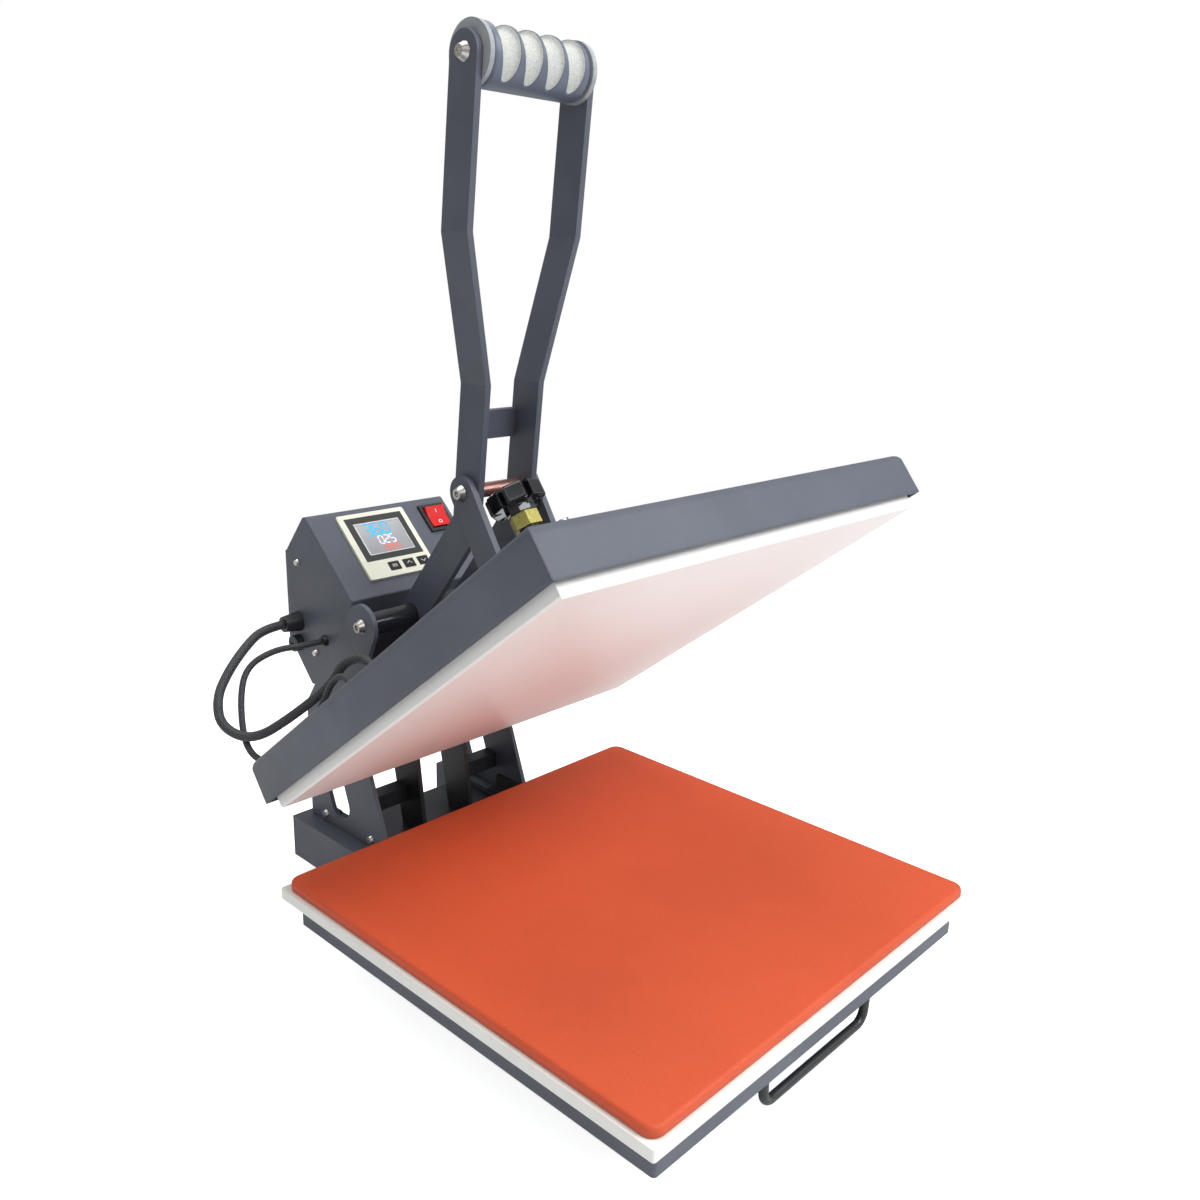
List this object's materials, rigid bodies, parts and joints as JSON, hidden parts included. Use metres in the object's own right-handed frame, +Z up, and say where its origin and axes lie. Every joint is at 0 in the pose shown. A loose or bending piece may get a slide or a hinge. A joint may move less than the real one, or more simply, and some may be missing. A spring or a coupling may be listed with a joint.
{
  "type": "flat heat press",
  "caption": "Clamshell flat heat press: sprung-open upper platen on a toggle handle, pull-out padded lower bed, digital control box and pressure knob.",
  "frame": {"origin": "on the floor under the middle of the machine's outline", "axes": "+Z up, -Y towards the user and the pull handle, +X to the user's right"},
  "size_m": [0.394, 0.554, 0.708],
  "materials": {
    "powder_coat": "satin fine-textured powder coat",
    "black_plate": "satin black powder coat",
    "stainless": "brushed stainless",
    "zinc_steel": "bright zinc",
    "bronze": "plain bronze",
    "brass_nut": "turned brass",
    "copper_sleeve": "polished copper-tinted sleeve",
    "platen_coat": "off-white release coating, semi-gloss",
    "element_sheath": "heat-dulled steel sheath",
    "insulation": "ceramic fibre blanket",
    "silicone": "matte silicone sponge",
    "board": "cream heat-proof board",
    "black_rubber": "matte rubber",
    "black_plastic": "moulded plastic",
    "knob_plastic": "glossy phenolic",
    "grip_plastic": "slate grip",
    "grip_ring": "light grey ring",
    "bezel_cream": "printed cream film",
    "display": "lit display behind glass",
    "rocker_red": "glossy red",
    "lead_sleeve": "woven black sleeve"
  },
  "bodies": {
    "root": {"base_rails": "powder_coat", "rail_caps": "black_plastic", "cross_members": "powder_coat", "rubber_feet": "black_rubber", "stand_plates": "powder_coat", "stand_brackets": "black_plate", "pivot_cheeks": "black_plate", "cheek_supports": "black_plate", "arm_shaft": "zinc_steel", "handle_shaft": "black_plate", "handle_shaft_screws": "stainless", "small_screws": "stainless", "fixed_slides": "zinc_steel", "control_box": "powder_coat", "box_back_cover": "powder_coat", "mains_inlet": "black_plastic", "box_spacers": "black_plate", "controller_bezel": "bezel_cream", "controller_body": "black_plastic", "display_glass": "display", "switch_frame": "black_plastic", "relay": "black_plastic", "lead_glands": "black_plastic", "fuse_holder": "black_plastic", "heater_lead": "lead_sleeve", "sensor_lead": "lead_sleeve"},
    "arm": {"arm_beam": "powder_coat", "arm_hub": "zinc_steel", "screw_block": "black_plate", "guide_bushes": "bronze"},
    "knob": {"pressure_screw": "zinc_steel", "pressure_knob": "knob_plastic", "jam_nut": "brass_nut"},
    "platen": {"platen_cover": "powder_coat", "heat_platen": "platen_coat", "heating_element": "element_sheath", "insulation_blanket": "insulation", "platen_studs": "zinc_steel", "lead_grommets": "black_rubber", "guide_pins": "zinc_steel", "thrust_block": "black_plate"},
    "handle": {"handle_bars": "powder_coat", "handle_brace": "powder_coat", "handle_hub": "black_plate", "link_tube": "copper_sleeve", "handle_screws": "stainless", "grip_core": "zinc_steel", "handle_grip": "grip_plastic", "grip_rings": "grip_ring"},
    "link": {"link_plates": "powder_coat", "link_pins": "stainless"},
    "drawer": {"drawer_tray": "powder_coat", "lower_board": "board", "silicone_pad": "silicone", "pull_handle": "black_plate", "moving_slides": "zinc_steel"},
    "rocker": {"power_rocker": "rocker_red"},
    "set_key": {"set_button": "black_plastic"},
    "up_key": {"up_button": "black_plastic"},
    "down_key": {"down_button": "black_plastic"}
  },
  "joints": [
    {"name": "arm_hinge", "type": "hinge", "parent": "root", "child": "arm", "pos_m": [0, 0.1935, 0.114], "axis": [1, 0, 0], "range_deg": [0, 38], "deforming": ["heater_lead", "sensor_lead"]},
    {"name": "knob_turn", "type": "hinge", "parent": "platen", "child": "knob", "pos_m": [0, -0.01847, 0.27961], "axis": [0, 0.6157, 0.788], "range_deg": [0, 540.02]},
    {"name": "platen_lift", "type": "slide", "parent": "arm", "child": "platen", "axis": [0, 0.6157, 0.788], "range_m": [0, 0.003]},
    {"name": "handle_pivot", "type": "hinge", "parent": "root", "child": "handle", "pos_m": [0, 0.15, 0.257], "axis": [1, 0, 0], "range_deg": [0, 75.65]},
    {"name": "link_pivot", "type": "hinge", "parent": "handle", "child": "link", "pos_m": [0, 0.0755, 0.375], "axis": [1, 0, 0], "range_deg": [-94.72, 0]},
    {"name": "drawer_slide", "type": "slide", "parent": "root", "child": "drawer", "axis": [0, -1, 0], "range_m": [0, 0.25]},
    {"name": "rocker_tilt", "type": "hinge", "parent": "root", "child": "rocker", "pos_m": [0.0555, 0.22317, 0.31781], "axis": [1, 0, 0], "range_deg": [-16, 0]},
    {"name": "set_press", "type": "slide", "parent": "root", "child": "set_key", "axis": [0, 0.6743, -0.7385], "range_m": [0, 0.001], "stiffness_N_per_m": 400},
    {"name": "up_press", "type": "slide", "parent": "root", "child": "up_key", "axis": [0, 0.6743, -0.7385], "range_m": [0, 0.001], "stiffness_N_per_m": 400},
    {"name": "down_press", "type": "slide", "parent": "root", "child": "down_key", "axis": [0, 0.6743, -0.7385], "range_m": [0, 0.001], "stiffness_N_per_m": 400}
  ],
  "couplings": [
    {"joint": "handle_pivot", "follows": "arm_hinge", "ratio": 1.9902},
    {"joint": "link_pivot", "follows": "arm_hinge", "ratio": -2.4921},
    {"joint": "knob_turn", "follows": "platen_lift", "rad_per_m": 3141.6}
  ]
}
